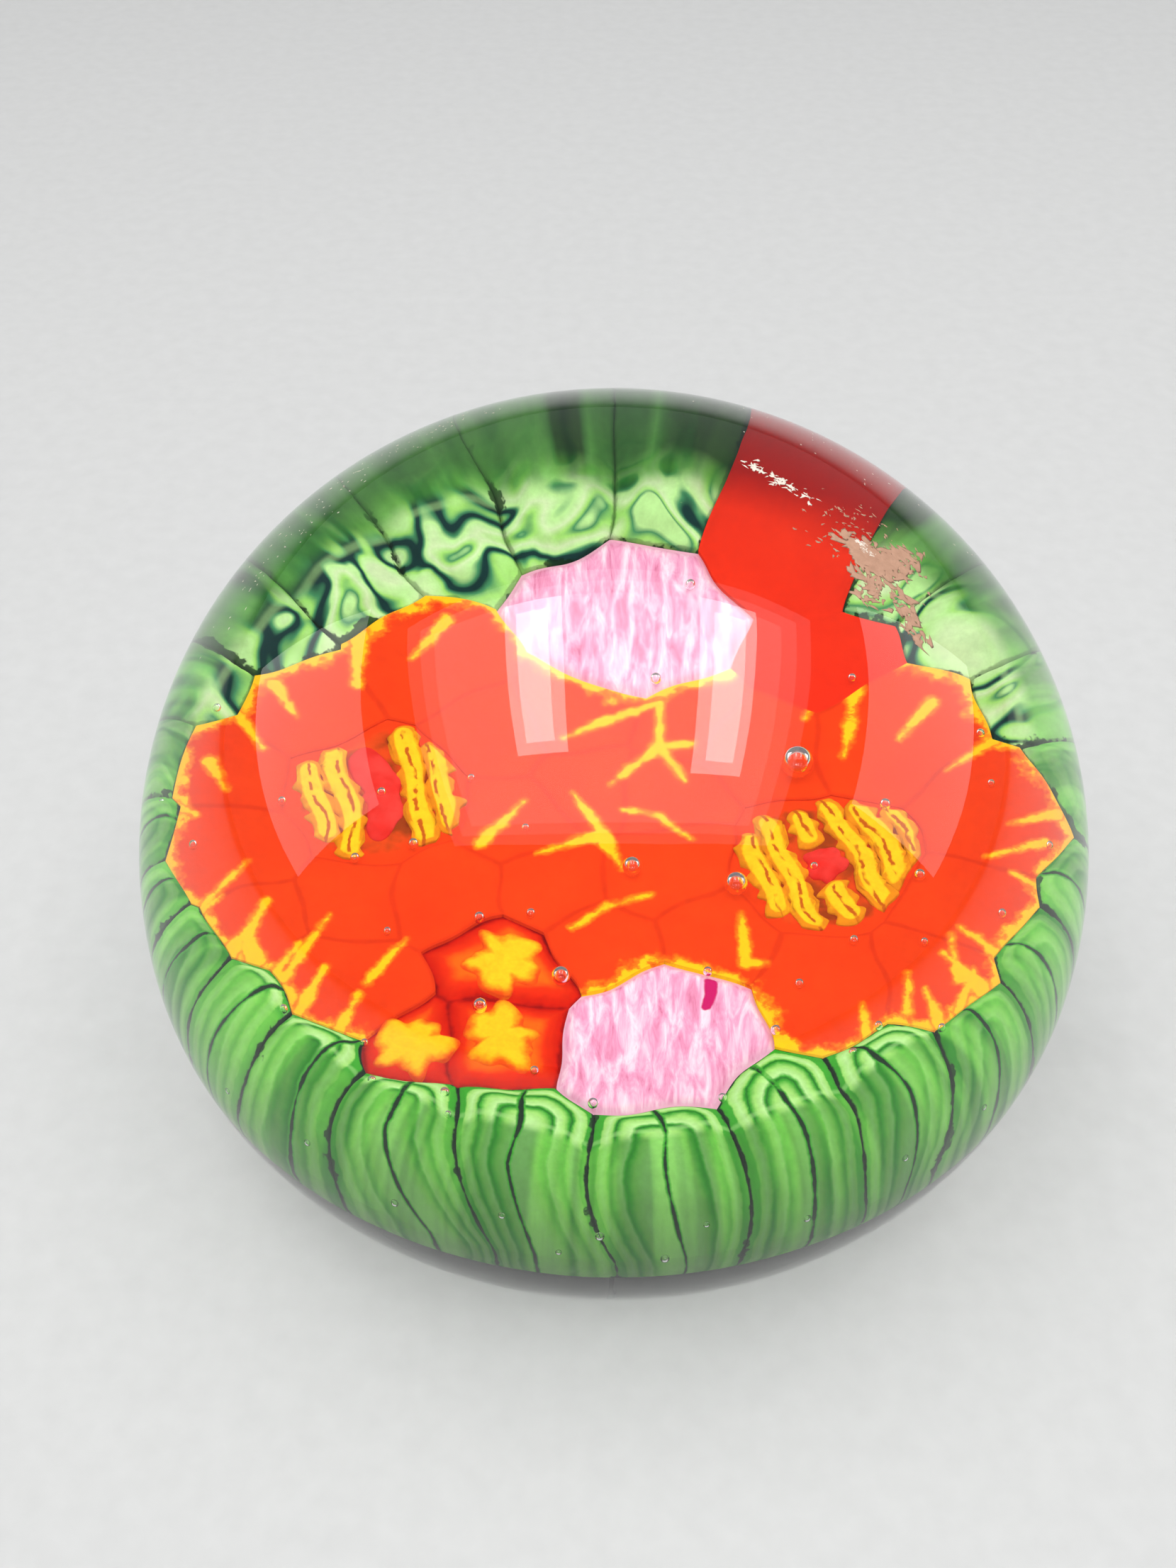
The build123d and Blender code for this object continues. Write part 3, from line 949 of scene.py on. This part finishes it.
wall_bubbles = np.array([
    (-118.0, 13.5, 0.25), (-104.0, 15.2, 0.22), (-97.0, 12.6, 0.20), (-92.0, 14.4, 0.30),
    (-84.0, 12.2, 0.28), (-79.0, 14.8, 0.20), (-66.0, 13.2, 0.25), (-52.0, 14.6, 0.22),
    (-131.0, 14.8, 0.22), (-146.0, 13.4, 0.20), (-38.0, 13.8, 0.20),
])


def bubble_sheet(x, y, radius, height=None):
    """A sphere, a tenth taller than wide, resting on the bundle unless a height is given."""
    turn = np.linspace(0, 2 * np.pi, 32, endpoint=False)
    fall = np.linspace(0, np.pi, 17)[:, None]
    if height is None:
        height = float(skin_top(np.hypot(x, y))) + 1.15 * radius
    return {"points": np.dstack([
        x + radius * np.sin(fall) * np.cos(turn),
        y + radius * np.sin(fall) * np.sin(turn),
        np.broadcast_to(height + 1.1 * radius * np.cos(fall), (17, 32)),
    ])}


def lets_lamps_through(material, shader_output, tint):
    """Mixes in a clear shader for shadow rays only, so that lamps light what is inside."""
    tree = material.node_tree
    clear = put(tree, "ShaderNodeBsdfTransparent", tint)
    path = put(tree, "ShaderNodeLightPath")
    mixed = put(tree, "ShaderNodeMixShader", path.outputs["Is Shadow Ray"],
                shader_output, clear.outputs[0])
    tree.links.new(mixed.outputs[0], tree.nodes["Material Output"].inputs["Surface"])


bubble_material, tree, shader = new_material("trapped air")
tree.nodes.remove(shader)
air = put(tree, "ShaderNodeBsdfGlass", (1, 1, 1, 1), 0.0, 1 / glass_index)
lets_lamps_through(bubble_material, air.outputs[0], (1, 1, 1, 1))
bubbles = [bubble_sheet(*b) for b in bubble_places]
for angle, height, radius in wall_bubbles:
    out = belly_radius + 1.2 * radius
    x, y = out * math.cos(math.radians(angle)), out * math.sin(math.radians(angle))
    bubbles.append(bubble_sheet(x, y, radius, height))
make_piece("air_bubbles", bubbles, bubble_material)

# %% [markdown]
# ## The crystal
# The casing and the pad under the canes are fused into one clear body, so one closed
# surface stands for both CAD nodes, and the canes lie inside it with no gap. Its profile
# is two quarters of ellipses and a flat foot whose edge is ground round. The glass is
# polished by hand, so it is wavy by a few thousandths of a millimetre, its foot is a
# little frosted, and small scuffs dull it in places.


# %% Crystal finish
def crystal_finish():
    """Clear glass: slightly wavy, scuffed in places, frosted on its foot."""
    material, tree, shader = new_material(
        "clear crystal", IOR=glass_index, Transmission_Weight=1.0)
    shader.inputs["Base Color"].default_value = (0.985, 0.992, 0.988, 1)
    where = place(tree)
    height = put(tree, "ShaderNodeSeparateXYZ", where).outputs["Z"]
    ground = maths(tree, "MULTIPLY", between(tree, height, 0.45, 0.15), 0.3)
    scuffs = between(tree, grain(tree, place(tree, (1, 2.5, 1), 35), 0.7, 5.0, 0.65), 0.66, 0.78)
    rough = maths(tree, "MULTIPLY_ADD", scuffs, 0.12, ground)
    tree.links.new(rough, shader.inputs["Roughness"])
    bump = put(tree, "ShaderNodeBump")
    bump.inputs["Distance"].default_value = 0.015 * MM
    tree.links.new(grain(tree, where, 7.0, 1.0), bump.inputs["Height"])
    tree.links.new(bump.outputs[0], shader.inputs["Normal"])
    lets_lamps_through(material, shader.outputs[0], (0.97, 0.98, 0.975, 1))
    return material


def crystal_sheet(rings=150, around=256):
    """Rings round the upright axis, from the top pole to the middle of the foot. The upper
    half is a quarter ellipse. The lower one stops at the foot, whose rim is rounded."""
    keel = equator / math.sqrt(1 - (foot_radius / globe_radius) ** 2)
    rim = 0.35
    end = math.asin((equator - rim) / keel)
    fall = np.linspace(0, np.pi / 2, rings)
    crown = np.stack([globe_radius * np.sin(fall),
                      equator + (globe_top - equator) * np.cos(fall)], 1)
    dip = np.linspace(0, end, 50)[1:]
    lower = np.stack([globe_radius * np.cos(dip), equator - keel * np.sin(dip)], 1)
    last = lower[-1, 0]
    curl = np.linspace(0, np.pi / 2, 7)[1:]
    edge = np.stack([last - rim * (1 - np.cos(curl)) - 0.1 * np.sin(curl),
                     rim * (1 - np.sin(curl))], 1)
    inner = np.linspace(edge[-1, 0], 0, 24)[1:]
    foot = np.stack([inner, np.zeros_like(inner)], 1)
    profile = np.vstack([crown, lower, edge, foot])
    turn = np.linspace(0, 2 * np.pi, around, endpoint=False)
    return {"points": np.dstack([profile[:, :1] * np.cos(turn), profile[:, :1] * np.sin(turn),
                                 np.broadcast_to(profile[:, 1:], (len(profile), around))])}


make_piece("crystal_globe", [crystal_sheet()], crystal_finish(),
           ["crystal_casing", "base_gather"])

# %% [markdown]
# ## Flakes and dust
# The dome is not clean. A brown flaky deposit clings to it on the right, with a paler one
# above, and specks of dust gather near the back rim. Each flake is a thin closed blob that
# lies on the glass. They are scattered along given lines on the dome.


# %% Flakes on the dome
def dome_height(x, y):
    """Height of the crown over a point: a quarter ellipse turned round the axis."""
    share = (x**2 + y**2) / globe_radius**2
    return equator + (globe_top - equator) * np.sqrt(1 - share)


def flake_sheet(x, y, length, width, turn, wobble):
    """A flat irregular blob on the dome: four rings round its own middle, whose radius
    swings with the angle, laid on the crown and a fiftieth of a millimetre thick."""
    angle = np.linspace(0, 2 * np.pi, 9, endpoint=False)
    swing = 1 + 0.35 * np.sin(3 * angle + wobble) + 0.2 * np.sin(4 * angle - 2 * wobble)
    out = np.array([0, 0.6, 1, 0.6, 0])[:, None]
    along, across = length * out * swing * np.cos(angle), width * out * swing * np.sin(angle)
    px = x + along * math.cos(turn) - across * math.sin(turn)
    py = y + along * math.sin(turn) + across * math.cos(turn)
    lift = np.array([0.02, 0.02, 0.0, -0.01, -0.01])[:, None]
    return {"points": np.dstack([px, py, dome_height(px, py) + lift])}


def scatter(start, end, spread, count, size):
    """Flakes near a line: places along it at random, pushed off it by a normal spread."""
    start, end = np.array(start), np.array(end)
    middle = start + rng.random((count, 1)) * (end - start) + rng.normal(0, spread, (count, 2))
    length = size * rng.uniform(0.4, 1.6, count)
    width = length * rng.uniform(0.2, 0.6, count)
    turn, wobble = rng.uniform(0, 2 * np.pi, (2, count))
    return [flake_sheet(*row) for row in zip(*middle.T, length, width, turn, wobble)]


def flake_finish(name, first, second, roughness):
    """A dry, lumpy deposit of two colours."""
    material, tree, shader = new_material(name, Roughness=roughness)
    cloud = grain(tree, place(tree), 0.6, 3.0, 0.6)
    tree.links.new(blend(tree, cloud, first, second), shader.inputs["Base Color"])
    bump = put(tree, "ShaderNodeBump")
    bump.inputs["Strength"].default_value = 0.4
    bump.inputs["Distance"].default_value = 0.0001
    tree.links.new(grain(tree, place(tree), 0.2, 2.0), bump.inputs["Height"])
    tree.links.new(bump.outputs[0], shader.inputs["Normal"])
    return material


brown_flakes = (
    scatter((14.6, -2.6), (17.6, -3.4), 0.55, 90, 0.50)
    + scatter((16.6, -2.8), (19.4, -0.6), 0.50, 70, 0.42)
    + scatter((15.8, -3.8), (15.2, -7.0), 0.50, 60, 0.38)
    + scatter((17.0, -4.5), (18.9, -8.6), 0.45, 60, 0.34)
    + scatter((12.6, -2.4), (18.5, -3.2), 1.1, 90, 0.14)
    + scatter((14.0, 0.0), (17.0, 0.8), 0.9, 40, 0.14)
)
pale_flakes = (
    scatter((8.6, 3.2), (12.4, 0.6), 0.35, 60, 0.22)
    + scatter((15.2, -1.9), (15.9, -2.9), 0.12, 14, 0.35)
    + scatter((-25.5, -0.5), (-17.9, 8.6), 1.2, 60, 0.07)
    + scatter((-17.9, 8.6), (-8.0, 14.5), 1.2, 50, 0.06)
    + scatter((10.0, 14.0), (22.0, 4.0), 2.0, 30, 0.06)
)
make_piece("brown_flakes", brown_flakes,
           flake_finish("brown deposit", (0.30, 0.15, 0.09, 1), (0.52, 0.30, 0.20, 1), 0.6))
make_piece("pale_flakes", pale_flakes,
           flake_finish("pale deposit", (0.62, 0.52, 0.42, 1), (0.80, 0.74, 0.66, 1), 0.45))

# %% [markdown]
# ## The stage
# A pale floor, one long softbox overhead, two softboxes at the sides and two narrow strips,
# whose reflections draw the roundness of the glass.

# %% Floor
floor_mesh = bpy.data.meshes.new("floor")
half = 3.0  # half the floor's side, in metres
floor_mesh.from_pydata([(-half, -half, 0), (half, -half, 0), (half, half, 0), (-half, half, 0)],
                       [], [(0, 1, 2, 3)])
floor = bpy.data.objects.new("floor", floor_mesh)
bpy.context.scene.collection.objects.link(floor)
floor_material, tree, shader = new_material("pale floor", Roughness=0.7, Specular_IOR_Level=0.2)
cloud = grain(tree, place(tree), 2.0, 4.0)
paint = blend(tree, cloud, (0.47, 0.47, 0.465, 1), (0.53, 0.53, 0.525, 1))
tree.links.new(paint, shader.inputs["Base Color"])
floor_mesh.materials.append(floor_material)


# %% Lamps
def softbox(name, where, towards, width, depth, brightness):
    """An area lamp that faces a point. brightness is how bright its face looks, so the
    power grows with its area."""
    lamp = bpy.data.lights.new(name, "AREA")
    lamp.shape = "RECTANGLE"
    lamp.size, lamp.size_y = width, depth
    lamp.energy = brightness * math.pi * width * depth
    box = bpy.data.objects.new(name, lamp)
    box.location = where
    step = [b - a for a, b in zip(where, towards)]
    flat = math.hypot(step[0], step[1])
    box.rotation_euler = (math.atan2(flat, -step[2]), 0, math.atan2(-step[0], step[1]))
    if flat < 0.02:
        box.rotation_euler = (0, 0, 0)
    bpy.context.scene.collection.objects.link(box)
    return box


for share in (1.0, 0.9, 0.8):
    softbox(f"overhead {share}", (-0.02, -0.10, 0.60 + 0.01 * share), (-0.02, -0.10, 0),
            1.0 * share, 0.74 * share, 0.68)
for share in (1.0, 0.55):
    softbox(f"strip left {share}", (-0.160, 0.0, 0.58 + 0.01 * share), (-0.160, 0.0, 0),
            0.12 * share, 0.38 * share**0.3, 5.0)
    softbox(f"strip right {share}", (0.235, -0.02, 0.58 + 0.01 * share), (0.235, -0.02, 0),
            0.13 * share, 0.44 * share**0.3, 5.0)
softbox("side left", (-0.85, 0.12, 0.40), (0, 0, 0.02), 0.75, 0.45, 1.7)
softbox("side right", (0.85, 0.12, 0.40), (0, 0, 0.02), 0.75, 0.45, 1.7)
world = bpy.data.worlds.new("studio")
bpy.context.scene.world = world
world.use_nodes = True
world.node_tree.nodes["Background"].inputs[0].default_value = (0.82, 0.86, 0.9, 1)
world.node_tree.nodes["Background"].inputs[1].default_value = 0.24

# %% Camera
camera_place = (-0.00184, -0.08857, 0.11323)
camera_elevation = math.radians(45)
camera_data = bpy.data.cameras.new("camera")
camera_data.sensor_width = 36.0
camera_data.lens = 39.06
camera_data.clip_start = 0.001
camera = bpy.data.objects.new("camera", camera_data)
camera.location = camera_place
camera.rotation_euler = (math.pi / 2 - camera_elevation, 0, 0)
print("camera at", camera_place, "with a lens of", camera_data.lens, "mm")
bpy.context.scene.collection.objects.link(camera)
bpy.context.scene.camera = camera
bpy.context.scene.view_settings.view_transform = "Standard"

# %% Update the scene
bpy.context.view_layer.update()
